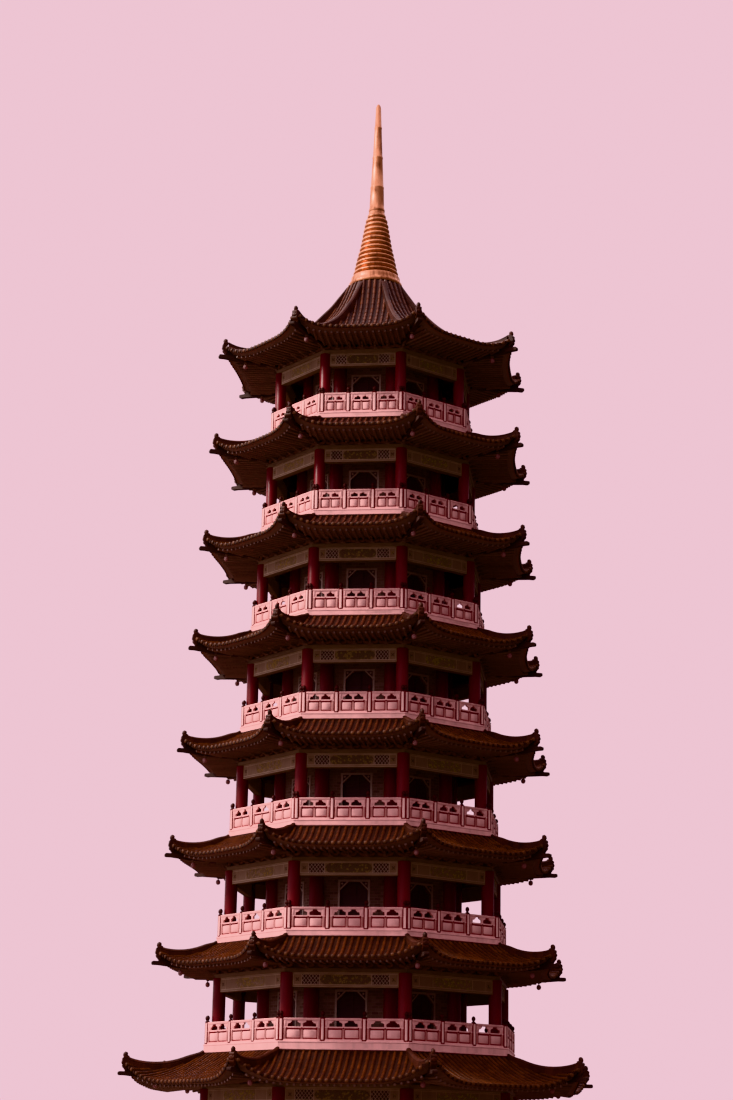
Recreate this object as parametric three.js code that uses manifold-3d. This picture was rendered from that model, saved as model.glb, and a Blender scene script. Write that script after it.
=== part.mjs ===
// Eight-storey octagonal pagoda, modelled at half the size of the real tower.
// Millimetres, +Z up. The origin is on the ground, under the middle of the tower, and -Y is the front.
import * as THREE from 'three';
import { mergeVertices } from 'three/addons/utils/BufferGeometryUtils.js';
import Module from 'manifold-3d';

const wasm = await Module();
wasm.setup();

// Whole tower
const STOREYS = 8;
const SIDES = 8;
const STOREY_HEIGHT = 2400;
const PLINTH_HEIGHT = 800;
const FIRST_SLAB_BOTTOM = 3160;
const FIRST_GALLERY_RADIUS = 3636;
const TAPER = 0.9426;
const GAP = 0.3;

// Plinth and steps
const PLINTH_RADIUS = 4320;
const STEP_COUNT = 7;
const STEP_RISE = PLINTH_HEIGHT / (STEP_COUNT + 1);
const STEP_GOING = 165;
const STEP_WIDTH = 1900;

// Gallery floor, and balustrade heights above the top of that floor
const SLAB_THICKNESS = 125;
const LOWEST_SLAB_THICKNESS = 165;
const RAIL_TOP = 485;
const RAIL_BOTTOM = 428;
const MID_RAIL_TOP = 298;
const BALUSTRADE_INSET = 20;
const BALUSTRADE_THICKNESS = 60;
const POST_WIDTH = 110;
const BAYS_PER_SIDE = 3;

// Outer colonnade
const COLUMN_CIRCLE = 0.915;
const COLUMN_DIAMETER = 290;
const COLUMN_CLEARANCE = 4;
const COLUMN_TAPER = 0.979;
const COLUMN_TOP = 1612;
const COLUMN_SIDES = 8;
const BEAM_BOTTOM = 1312;
const BEAM_THICKNESS = 150;
const TOP_BEAM_TOP = 1905;

// Core wall with its corner columns and doorways
const CORE_CIRCLE = 0.63;
const CORE_WALL = 160;
const CORE_COLUMN_EXTRA = 50;
const DOOR_WIDTH = 620;
const DOOR_HEAD = 1290;
const DOOR_CHAMFER = 190;

// Roofs, heights above the underside of the storey's slab
const EAVE_REACH = 1150;
const EAVE_REACH_GROWTH = 13;
const GROUND_EAVE_REACH = 1572;
const EAVE_DROP = 20;
const GROUND_EAVE_DROP = 175;
const CORNER_FLARE = 0.0527;
const CORNER_LIFT = 262;
const LIFT_POWER = 2.6;
const LIFT_ACROSS_POWER = 5;
const FLARE_ACROSS_POWER = 3;
const EAVE_TOP = 1925;
const EAVE_EDGE = 75;
const SOFFIT_OUTER = 1820;
const SOFFIT_INNER = 1830;
const ROOF_TOP = 2385;
const SLOPE_POWER = 1.5;
const RIDGE_HEIGHT = 115;
const RIDGE_WIDTH = 120;
const FINIAL_TOP = 2354;
const CORNER_BEAM = { reach: 90, height: 1880, rootReach: -540, rootHeight: 1780 };

// Top roof and spire, heights above the underside of the top storey's slab
const CROWN_TOP = 4136;
const CROWN_RADIUS = 700;
const TOP_ROOF_THICKNESS = 190;
const TOP_SLOPE = [
  [0.13, 3385],
  [0.28, 2880],
  [0.46, 2440],
  [0.68, 2100],
];
const CONE_PROFILE = [
  [640, 4136 + GAP],
  [640, 4240],
  [600, 4400],
  [555, 4470],
  [398, 5215],
  [262, 5950],
  [190, 6155],
];
const ROD_PROFILE = [
  [187, 6155 + GAP],
  [166, 6777],
  [125, 7595],
  [88, 8418],
  [60, 9060],
];
const SPIRE_TOP = 9115;
const SPIRE_SEGMENTS = 16;

const HALF_SIDE = Math.PI / SIDES;
const FLAT = Math.cos(HALF_SIDE);

const colours = {
  stone: new THREE.MeshStandardMaterial({ color: 0xb9aca6, roughness: 0.85, metalness: 0 }),
  paleStone: new THREE.MeshStandardMaterial({ color: 0xe6cfcb, roughness: 0.75, metalness: 0 }),
  brick: new THREE.MeshStandardMaterial({ color: 0x8a6a5c, roughness: 0.9, metalness: 0 }),
  lacquer: new THREE.MeshStandardMaterial({ color: 0x8c1620, roughness: 0.45, metalness: 0 }),
  tile: new THREE.MeshStandardMaterial({ color: 0xb4531f, roughness: 0.4, metalness: 0 }),
  gilt: new THREE.MeshStandardMaterial({ color: 0xb8823a, roughness: 0.4, metalness: 0.8 }),
};

const tower = new THREE.Group();

// Sizes of one storey
function galleryRadius(storey) {
  return FIRST_GALLERY_RADIUS * TAPER ** (storey - 2);
}

function slabBottom(storey) {
  return FIRST_SLAB_BOTTOM + (storey - 2) * STOREY_HEIGHT;
}

function slabThickness(storey) {
  return storey === 2 ? LOWEST_SLAB_THICKNESS : SLAB_THICKNESS;
}

// Height of the walking surface above the storey's own zero, the underside of its slab
function floorLevel(storey) {
  return storey === 1 ? PLINTH_HEIGHT - slabBottom(1) : slabThickness(storey);
}

function columnDiameter(storey) {
  return COLUMN_DIAMETER * COLUMN_TAPER ** (storey - 2);
}

function balustradeOuter(storey) {
  return galleryRadius(storey) - BALUSTRADE_INSET / FLAT;
}

// Radius of the circle of outer columns, which stand clear inside the balustrade
function columnCircle(storey) {
  const behindRail = BALUSTRADE_THICKNESS + columnDiameter(storey) / 2 + COLUMN_CLEARANCE;
  return Math.min(galleryRadius(storey) * COLUMN_CIRCLE, balustradeOuter(storey) - behindRail / FLAT);
}

// A point at a radius, turned from the front (-Y) towards +X
function around(radius, angle) {
  return [radius * Math.sin(angle), -radius * Math.cos(angle)];
}

function cornerAngle(index) {
  return HALF_SIDE * (2 * index + 1);
}

function octagon(radius) {
  const points = [];
  for (let i = 0; i < SIDES; i += 1) {
    points.push(new THREE.Vector2(...around(radius, cornerAngle(i))));
  }
  return points;
}

// Drops triangles without area and turns the faces outwards
function closeBody(geometry) {
  geometry.deleteAttribute('normal');
  geometry.deleteAttribute('uv');
  const merged = mergeVertices(geometry, 1e-3);
  const position = merged.attributes.position;
  const old = merged.index.array;
  const kept = [];
  let volume = 0;
  const a = new THREE.Vector3();
  const b = new THREE.Vector3();
  const c = new THREE.Vector3();
  for (let i = 0; i < old.length; i += 3) {
    const [p, q, r] = [old[i], old[i + 1], old[i + 2]];
    if (p !== q && q !== r && r !== p) {
      kept.push(p, q, r);
      a.fromBufferAttribute(position, p);
      b.fromBufferAttribute(position, q);
      c.fromBufferAttribute(position, r);
      volume += a.dot(b.cross(c));
    }
  }
  if (volume < 0) {
    for (let i = 0; i < kept.length; i += 3) {
      [kept[i], kept[i + 1]] = [kept[i + 1], kept[i]];
    }
  }
  merged.setIndex(kept);
  return merged;
}

function toSolid(geometry) {
  const body = closeBody(geometry);
  return new wasm.Manifold(new wasm.Mesh({
    numProp: 3,
    vertProperties: new Float32Array(body.attributes.position.array),
    triVerts: new Uint32Array(body.index.array),
  }));
}

function toGeometry(solid) {
  const mesh = solid.getMesh();
  const geometry = new THREE.BufferGeometry();
  geometry.setAttribute('position', new THREE.BufferAttribute(mesh.vertProperties, 3));
  geometry.setIndex(new THREE.BufferAttribute(mesh.triVerts, 1));
  return geometry;
}

function place(name, geometry, material, height = 0) {
  const mesh = new THREE.Mesh(geometry, material);
  mesh.name = name;
  mesh.position.z = height;
  tower.add(mesh);
}

function prism(outline, bottom, top, hole) {
  const shape = new THREE.Shape(outline);
  if (hole) {
    shape.holes.push(new THREE.Path(hole));
  }
  const geometry = new THREE.ExtrudeGeometry(shape, { depth: top - bottom, bevelEnabled: false });
  return geometry.translate(0, 0, bottom);
}

function post(radius, angle, diameter, bottom, top) {
  const geometry = new THREE.CylinderGeometry(diameter / 2, diameter / 2, top - bottom, COLUMN_SIDES);
  geometry.rotateY(Math.PI / COLUMN_SIDES);
  geometry.rotateX(Math.PI / 2);
  geometry.rotateZ(angle);
  const [x, y] = around(radius, angle);
  return geometry.translate(x, y, (bottom + top) / 2);
}

// Plinth with a flight of steps on its four main sides
function plinth() {
  place('plinth', closeBody(prism(octagon(PLINTH_RADIUS), 0, PLINTH_HEIGHT - GAP)), colours.stone);
}

function steps() {
  const outline = [new THREE.Vector2(0, 0)];
  for (let i = 0; i < STEP_COUNT; i += 1) {
    const reach = (STEP_COUNT - i) * STEP_GOING;
    outline.push(new THREE.Vector2(reach, i * STEP_RISE));
    outline.push(new THREE.Vector2(reach, (i + 1) * STEP_RISE));
  }
  outline.push(new THREE.Vector2(0, STEP_COUNT * STEP_RISE));
  const names = ['front_steps', 'right_steps', 'back_steps', 'left_steps'];
  names.forEach((name, i) => {
    const flight = new THREE.ExtrudeGeometry(new THREE.Shape(outline), {
      depth: STEP_WIDTH,
      bevelEnabled: false,
    });
    flight.translate(PLINTH_RADIUS * FLAT + GAP, 0, -STEP_WIDTH / 2);
    flight.rotateX(Math.PI / 2);
    flight.rotateZ(-Math.PI / 2 + i * Math.PI / 2);
    place(name, closeBody(flight), colours.stone);
  });
}

// One gallery floor, its edge showing as the pale band over the roof below
function galleryFloor(storey) {
  const plate = prism(octagon(galleryRadius(storey)), 0, slabThickness(storey) - GAP);
  place(`gallery_floor_${storey}`, closeBody(plate), colours.paleStone, slabBottom(storey));
}

// Pierced parapet round the gallery: panels below, slots between the posts, rail on top
function balustrade(storey) {
  const outer = balustradeOuter(storey);
  const inner = outer - BALUSTRADE_THICKNESS / FLAT;
  let wall = toSolid(prism(octagon(outer), 0, RAIL_TOP, octagon(inner)));
  const side = 2 * outer * Math.sin(HALF_SIDE);
  const bay = side / BAYS_PER_SIDE;
  const slotHeight = RAIL_BOTTOM - MID_RAIL_TOP;
  for (let i = 0; i < SIDES; i += 1) {
    for (let j = 0; j < BAYS_PER_SIDE; j += 1) {
      const slot = new THREE.BoxGeometry(bay - POST_WIDTH, 4 * BALUSTRADE_THICKNESS, slotHeight);
      const across = (j - (BAYS_PER_SIDE - 1) / 2) * bay;
      slot.translate(across, -(outer * FLAT - BALUSTRADE_THICKNESS / 2), MID_RAIL_TOP + slotHeight / 2);
      slot.rotateZ(i * 2 * HALF_SIDE);
      wall = wall.subtract(toSolid(slot));
    }
  }
  const height = slabBottom(storey) + slabThickness(storey);
  place(`balustrade_${storey}`, toGeometry(wall), colours.paleStone, height);
}

// Eight round columns joined by the painted beam ring that carries the slab above
function colonnade(storey) {
  const circle = columnCircle(storey);
  const bottom = floorLevel(storey);
  const top = storey === STOREYS ? TOP_BEAM_TOP : STOREY_HEIGHT - GAP;
  const half = BEAM_THICKNESS / 2 / FLAT;
  let ring = toSolid(prism(octagon(circle + half), BEAM_BOTTOM, top, octagon(circle - half)));
  for (let i = 0; i < SIDES; i += 1) {
    ring = ring.add(toSolid(post(circle, cornerAngle(i), columnDiameter(storey), bottom, COLUMN_TOP)));
  }
  place(`colonnade_${storey}`, toGeometry(ring), colours.lacquer, slabBottom(storey));
}

// Doorway outline with cut-off upper corners, as in the photographed storeys
function doorway(depth) {
  const half = DOOR_WIDTH / 2;
  const outline = [
    new THREE.Vector2(-half, -DOOR_HEAD),
    new THREE.Vector2(half, -DOOR_HEAD),
    new THREE.Vector2(half, DOOR_HEAD - DOOR_CHAMFER),
    new THREE.Vector2(half - DOOR_CHAMFER, DOOR_HEAD),
    new THREE.Vector2(DOOR_CHAMFER - half, DOOR_HEAD),
    new THREE.Vector2(-half, DOOR_HEAD - DOOR_CHAMFER),
  ];
  const geometry = new THREE.ExtrudeGeometry(new THREE.Shape(outline), { depth, bevelEnabled: false });
  return geometry.rotateX(Math.PI / 2);
}

// Hollow eight-sided core, an engaged column on each corner and a doorway in each side
function coreWall(storey) {
  const circle = galleryRadius(storey) * CORE_CIRCLE;
  const bottom = floorLevel(storey);
  const diameter = columnDiameter(storey) + CORE_COLUMN_EXTRA;
  const reach = (circle + diameter / 2) * FLAT;
  const top = storey === STOREYS ? topUnderside(reach) : STOREY_HEIGHT - GAP;
  const inner = circle - CORE_WALL / FLAT;
  let wall = toSolid(prism(octagon(circle), bottom, top, octagon(inner)));
  const room = toSolid(prism(octagon(inner), bottom - 1, top + 1));
  for (let i = 0; i < SIDES; i += 1) {
    wall = wall.add(toSolid(post(circle, cornerAngle(i), diameter, bottom, top)).subtract(room));
  }
  for (let i = 0; i < SIDES; i += 1) {
    const door = doorway(4 * CORE_WALL);
    door.translate(0, -circle * FLAT + 2 * CORE_WALL, 0);
    door.rotateZ(i * 2 * HALF_SIDE);
    wall = wall.subtract(toSolid(door));
  }
  place(`core_wall_${storey}`, toGeometry(wall), colours.brick, slabBottom(storey));
}

// Height of the flat run of the slope, from 0 at the inner edge to 1 at the eave.
// The drop lowers the middle of the eave while its corners stay where they are.
function slopeHeight(along, drop) {
  return EAVE_TOP - drop + (ROOF_TOP - EAVE_TOP + drop) * (1 - along) ** SLOPE_POWER;
}

// Extra height and reach of the upturned corners
function lift(along, across, drop) {
  return (CORNER_LIFT + drop) * along ** LIFT_POWER * across ** LIFT_ACROSS_POWER;
}

function flare(along, across) {
  return 1 + CORNER_FLARE * along ** 1.5 * across ** FLARE_ACROSS_POWER;
}

// Places across one side: hip, edge of the hip ridge, four points on the side, edge of the next ridge
const ACROSS = [null, -1, -0.86, -0.6, 0.6, 0.86, 1];

// An eight-sided roof from rings of profile rows, bent up and out at its corners.
// Each row gives the middle of the side (flat distance, height, how far along the slope)
// and the hip (radius, height).
function bentRoof(rows, drop) {
  const segments = SIDES * ACROSS.length;
  const profile = rows.map((row, j) => new THREE.Vector2(row.flat, j));
  const geometry = new THREE.LatheGeometry(profile, segments);
  const position = geometry.attributes.position;
  for (let s = 0; s <= segments; s += 1) {
    const index = s % segments;
    const corner = Math.floor(index / ACROSS.length);
    const across = ACROSS[index % ACROSS.length];
    rows.forEach((row, j) => {
      const vertex = s * rows.length + j;
      if (across === null) {
        const [x, y] = around(row.radius, cornerAngle(corner));
        position.setXYZ(vertex, x, y, row.hip);
        return;
      }
      const bend = Math.abs(across);
      const spread = row.flat * Math.tan(HALF_SIDE) - RIDGE_WIDTH / 2 / FLAT;
      const scale = flare(row.along, bend);
      const normal = row.flat * scale;
      const sideways = across * Math.max(spread, 0) * scale;
      const angle = cornerAngle(corner) + HALF_SIDE;
      const x = normal * Math.sin(angle) + sideways * Math.cos(angle);
      const y = -normal * Math.cos(angle) + sideways * Math.sin(angle);
      position.setXYZ(vertex, x, y, row.height + lift(row.along, bend, drop));
    });
  }
  return closeBody(geometry);
}

function eaveCorner(storey) {
  if (storey === 1) {
    return galleryRadius(1) + GROUND_EAVE_REACH;
  }
  return galleryRadius(storey) + EAVE_REACH + EAVE_REACH_GROWTH * (storey - 2);
}

// Rows shared by every roof: eave edge, rafter soffit and corner beam
function eaveRows(corner, eaveFlat, drop) {
  return [
    { flat: eaveFlat, height: EAVE_TOP - drop, along: 1, radius: corner - 30, hip: FINIAL_TOP },
    {
      flat: eaveFlat - 8,
      height: EAVE_TOP - drop - EAVE_EDGE,
      along: 1,
      radius: corner + CORNER_BEAM.reach,
      hip: CORNER_BEAM.height,
    },
    {
      flat: eaveFlat - 200,
      height: SOFFIT_OUTER - drop,
      along: 0.85,
      radius: corner + CORNER_BEAM.rootReach,
      hip: CORNER_BEAM.rootHeight,
    },
  ];
}

// Skirt roof that leans on the beam ring, under the next gallery floor
function skirtRoof(storey) {
  const drop = storey === 1 ? GROUND_EAVE_DROP : EAVE_DROP;
  const corner = eaveCorner(storey);
  const eaveFlat = corner * FLAT / (1 + CORNER_FLARE);
  const ringFlat = columnCircle(storey) * FLAT + BEAM_THICKNESS / 2 + GAP;
  const slabFlat = galleryRadius(storey + 1) * FLAT;
  const rows = [
    { flat: ringFlat, height: SOFFIT_INNER, along: 0, radius: ringFlat / FLAT, hip: CORNER_BEAM.rootHeight },
    { flat: ringFlat, height: ROOF_TOP, along: 0, radius: ringFlat / FLAT, hip: STOREY_HEIGHT - 2 * GAP },
  ];
  for (const along of [0.06, 0.35, 0.6, 0.82]) {
    const flat = slabFlat + along * (eaveFlat - slabFlat);
    const height = slopeHeight(along, drop);
    const hip = Math.min(height + lift(along, 1, drop) + RIDGE_HEIGHT, STOREY_HEIGHT - 2 * GAP);
    const radius = flat / FLAT * flare(along, 1);
    rows.push({ flat, height, along, radius, hip });
  }
  rows.push(...eaveRows(corner, eaveFlat, drop));
  rows.push(rows[0]);
  place(`roof_${storey}`, bentRoof(rows, drop), colours.tile, slabBottom(storey));
}

// Underside of the top roof over a point at a flat distance from the axis
function topUnderside(flat) {
  const beamFlat = columnCircle(STOREYS) * FLAT - BEAM_THICKNESS / 2;
  const crownFlat = CROWN_RADIUS * FLAT - TOP_ROOF_THICKNESS;
  const share = (beamFlat - flat) / (beamFlat - crownFlat);
  const rise = CROWN_TOP - TOP_ROOF_THICKNESS - TOP_BEAM_TOP;
  return TOP_BEAM_TOP + rise * share ** 1.5;
}

// Concave pointed roof of the top storey, open below
function topRoof() {
  const corner = eaveCorner(STOREYS);
  const eaveFlat = corner * FLAT / (1 + CORNER_FLARE);
  const crownFlat = CROWN_RADIUS * FLAT;
  const beamOuter = columnCircle(STOREYS) * FLAT + BEAM_THICKNESS / 2;
  const beamInner = beamOuter - BEAM_THICKNESS;
  const crownInner = crownFlat - TOP_ROOF_THICKNESS;
  const ceiling = CROWN_TOP - TOP_ROOF_THICKNESS;
  const rows = [
    { flat: 0, height: CROWN_TOP, along: 0, radius: 0, hip: CROWN_TOP },
    { flat: crownFlat, height: CROWN_TOP, along: 0, radius: CROWN_RADIUS + 20, hip: CROWN_TOP },
  ];
  for (const [along, height] of TOP_SLOPE) {
    const flat = crownFlat + along * (eaveFlat - crownFlat);
    const hip = height + lift(along, 1, 0) + RIDGE_HEIGHT;
    rows.push({ flat, height, along, radius: flat / FLAT * flare(along, 1), hip });
  }
  rows.push(...eaveRows(corner, eaveFlat, 0));
  const under = [
    [beamOuter, TOP_BEAM_TOP + GAP],
    [beamInner, TOP_BEAM_TOP + GAP],
    [0.6 * beamInner + 0.4 * crownInner, topUnderside(0.6 * beamInner + 0.4 * crownInner) + 2 * GAP],
    [crownInner, ceiling],
    [0, ceiling],
  ];
  for (const [flat, height] of under) {
    rows.push({ flat, height, along: 0, radius: flat / FLAT, hip: height });
  }
  place('top_roof', bentRoof(rows, 0), colours.tile, slabBottom(STOREYS));
}

function turned(profile, top) {
  const points = [new THREE.Vector2(0, profile[0][1])];
  for (const [radius, height] of profile) {
    points.push(new THREE.Vector2(radius, height));
  }
  points.push(new THREE.Vector2(0, top));
  const geometry = new THREE.LatheGeometry(points, SPIRE_SEGMENTS);
  return closeBody(geometry.rotateX(Math.PI / 2));
}

function spire() {
  place('spire_cone', turned(CONE_PROFILE, CONE_PROFILE.at(-1)[1]), colours.gilt, slabBottom(STOREYS));
  place('spire_rod', turned(ROD_PROFILE, SPIRE_TOP), colours.gilt, slabBottom(STOREYS));
}

plinth();
steps();
for (let storey = 1; storey <= STOREYS; storey += 1) {
  if (storey > 1) {
    galleryFloor(storey);
    balustrade(storey);
  }
  coreWall(storey);
  colonnade(storey);
  if (storey < STOREYS) {
    skirtRoof(storey);
  }
}
topRoof();
spire();

export default tower;
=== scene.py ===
"""Dresses an eight-storey octagonal pagoda, a tower modelled at half its real size.

Metres, +Z up. The tower stands on the ground at the origin and -Y is its front.
"""

import math

import bpy
import numpy as np
from mathutils import Matrix, Vector


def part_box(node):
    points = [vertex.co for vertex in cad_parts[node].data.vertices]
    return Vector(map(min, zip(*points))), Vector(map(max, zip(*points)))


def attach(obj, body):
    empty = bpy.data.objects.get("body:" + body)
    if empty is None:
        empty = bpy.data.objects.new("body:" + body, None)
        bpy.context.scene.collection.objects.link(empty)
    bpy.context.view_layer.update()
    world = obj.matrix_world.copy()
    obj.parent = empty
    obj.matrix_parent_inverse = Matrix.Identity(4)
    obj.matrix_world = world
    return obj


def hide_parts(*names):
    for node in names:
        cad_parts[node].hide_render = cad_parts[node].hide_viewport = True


bl_info = {
    "name": "Octagonal Pagoda",
    "version": (1, 0, 0),
    "blender": (4, 5, 0),
    "location": "View3D > Sidebar > Pagoda",
    "description": "Tiled roofs, galleries, painted beams and spire of an octagonal pagoda",
    "category": "Object",
}

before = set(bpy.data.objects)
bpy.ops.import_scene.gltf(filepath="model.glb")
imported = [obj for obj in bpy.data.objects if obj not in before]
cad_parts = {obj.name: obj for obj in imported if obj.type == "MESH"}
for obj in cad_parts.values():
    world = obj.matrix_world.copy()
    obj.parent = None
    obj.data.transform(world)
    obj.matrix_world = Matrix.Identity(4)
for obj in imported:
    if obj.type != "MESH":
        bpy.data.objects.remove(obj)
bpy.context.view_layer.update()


# Whole tower
STOREYS = 8
ALL_STOREYS = range(1, STOREYS + 1)
GALLERIES = range(2, STOREYS + 1)
SIDES = 8
TURN = math.tau / SIDES
FLAT = math.cos(TURN / 2)
TAN = math.tan(TURN / 2)
ALL_SIDES = tuple(range(SIDES))
CORNERS = tuple(i + 0.5 for i in ALL_SIDES)
STOREY_HEIGHT = 2.4
TAPER = 0.9426


# Columns, beams and core, heights above the underside of the storey's slab
COLUMN_CIRCLE = 0.915
COLUMN_DIAMETER = 0.29
COLUMN_TAPER = 0.979
COLUMN_CLEARANCE = 0.004
COLUMN_TOP = 1.617
BEAM_BOTTOM = 1.312
BEAM_THICKNESS = 0.15
PLANK_TOP = 1.703
TOP_BEAM_TOP = 1.905
PANEL_BOTTOM = 1.365
PANEL_TOP = 1.575
CORE_CIRCLE = 0.63
CORE_WALL = 0.16
CORE_COLUMN_EXTRA = 0.05
DOOR_HALF = 0.31
DOOR_HEAD = 1.29
DOOR_CHAMFER = 0.19
SLAT_PITCH = 0.06


# Balustrade, heights above the floor
RAIL_INSET = 0.02
RAIL_THICKNESS = 0.06
RAIL_TOP = 0.485
RAIL_BOTTOM = 0.43
MID_RAIL_TOP = 0.305
MID_RAIL_BOTTOM = 0.274
BASE_STRIP = 0.044
BAYS = 3
POST_HALF = 0.057
STILE = 0.055
MULLION_HALF = 0.024


# Roofs, heights above the underside of the storey's slab
EAVE_REACH = 1.15
EAVE_REACH_GROWTH = 0.013
GROUND_EAVE_REACH = 1.572
EAVE_DROP = 0.02
GROUND_EAVE_DROP = 0.175
CORNER_FLARE = 0.0527
CORNER_LIFT = 0.262
LIFT_POWER = 2.6
LIFT_BEND = 5
EAVE_TOP = 1.925
SOFFIT_OUTER = 1.82
SOFFIT_INNER = 1.83
SOFFIT_SETBACK = 0.2
ROOF_TOP = 2.385
SLOPE_POWER = 1.5
RIDGE_WIDTH = 0.12
HIP_JOINT = 0.02
DECK_SINK = 0.055
RAFTER_RADIUS = 0.029
BRACKETS = 5
CROWN_TOP = 4.136
CROWN_RADIUS = 0.7
TOP_SLOPE = ((0, 4.136), (0.06, 3.75), (0.13, 3.385), (0.28, 2.88), (0.46, 2.44),
             (0.68, 2.1), (0.85, 1.965), (1, 1.925))
SPIRE_TOP = 9.115


# Geometry


def turn(points, turns):
    """Points carried round the tower's axis by a number of sides."""
    c, s = math.cos(turns * TURN), math.sin(turns * TURN)
    x, y, z = points.T
    return np.stack([c * x - s * y, s * x + c * y, z], -1)


def volume(points, faces):
    """Six times the volume inside closed faces, negative if they are inside out."""
    total = 0.0
    for group in faces:
        first = points[group[:, 0]]
        for j in range(1, group.shape[1] - 1):
            normal = np.cross(points[group[:, j]], points[group[:, j + 1]])
            total += float((first * normal).sum())
    return total


def smooth(x, knots):
    """Values at x on a smooth curve through (x, value) knots."""
    xs, ys = np.array(knots, float).T
    x = np.clip(x, xs[0], xs[-1])
    slopes = np.gradient(ys, xs)
    i = np.clip(np.searchsorted(xs, x) - 1, 0, len(xs) - 2)
    span = xs[i + 1] - xs[i]
    t = (x - xs[i]) / span
    near = ys[i] * (1 + 2 * t) * (1 - t) ** 2 + slopes[i] * span * t * (1 - t) ** 2
    return near + ys[i + 1] * t * t * (3 - 2 * t) + slopes[i + 1] * span * t * t * (t - 1)


def unit(vectors):
    """Vectors brought to length one."""
    return vectors / np.linalg.norm(vectors, axis=1, keepdims=True)


def about(middle, half):
    """The two values on either side of a middle."""
    return middle - half, middle + half


def rectangle(a, b, low, high):
    """The outline of a rectangle from a to b."""
    return [(a, low), (a, high), (b, high), (b, low)]


def both(half, *middle):
    """An outline whose second half mirrors its first, with any points between them."""
    return [*half, *middle, *((-a, b) for a, b in reversed(half))]


def moved(outline, across=0.0, up=0.0, width=1.0):
    """An outline widened across and then carried across and up."""
    return [(across + width * a, up + b) for a, b in outline]


def loft(rings):
    """Points and faces of a closed skin over rings of points, capped at both ends."""
    rings = np.asarray(rings, float)
    index = np.arange(rings.shape[0] * rings.shape[1]).reshape(rings.shape[:2])
    after = np.roll(index, -1, axis=1)
    quads = np.stack([index[:-1], after[:-1], after[1:], index[1:]], -1).reshape(-1, 4)
    return rings.reshape(-1, 3), [quads, index[:1, ::-1], index[-1:]]


def bar(outline, low, high, axis="n"):
    """A bar with one outline: (outward, up) for a bar along x, (x, up) outward, (x, outward) up."""
    a, b = np.array(outline, float).T
    rings = []
    for level in (low, high):
        t = np.full(len(a), level)
        rings.append(np.stack({"x": (t, -a, b), "n": (a, -t, b), "z": (a, -b, t)}[axis], -1))
    return loft(rings)


def block(x, n, z, edge=0.0):
    """A block between two values each of x, outward and up, with its edges cut off by a small bevel."""
    if not edge:
        return bar([(x[0], z[0]), (x[1], z[0]), (x[1], z[1]), (x[0], z[1])], *n)
    rings = []
    for level, inset in ((n[0], edge), (n[0] + edge, 0), (n[1] - edge, 0), (n[1], edge)):
        x0, x1, z0, z1 = x[0] + inset, x[1] - inset, z[0] + inset, z[1] - inset
        outline = [(x0 + edge, z0), (x1 - edge, z0), (x1, z0 + edge), (x1, z1 - edge),
                   (x1 - edge, z1), (x0 + edge, z1), (x0, z1 - edge), (x0, z0 + edge)]
        rings.append([(px, -level, pz) for px, pz in outline])
    return loft(rings)


def mitred(outline):
    """A moulding along one side of the octagon, cut to meet the next side at the corners."""
    return loft([[(end * n * TAN, -n, z) for n, z in outline] for end in (-1, 1)])


def turned(profile, segments, n=0.0, x=0.0):
    """A turned body from (radius, height) pairs, with its axis at x and n outward."""
    angles = np.arange(segments) * math.tau / segments
    return loft([np.stack([x + r * np.cos(angles), -n + r * np.sin(angles), np.full(segments, z)], -1)
                 for r, z in profile])


def tube(path, radii, segments):
    """A round bar along a path that bends only outward and up."""
    path, side = np.asarray(path, float), np.array([1.0, 0.0, 0.0])
    up = np.cross(side, unit(np.gradient(path, axis=0)))[:, None]
    angles = ((np.arange(segments) + 0.5) * math.tau / segments)[:, None]
    radii = np.asarray(radii, float)[:, None, None]
    return loft(path[:, None] + radii * (np.cos(angles) * side + np.sin(angles) * up))


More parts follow.
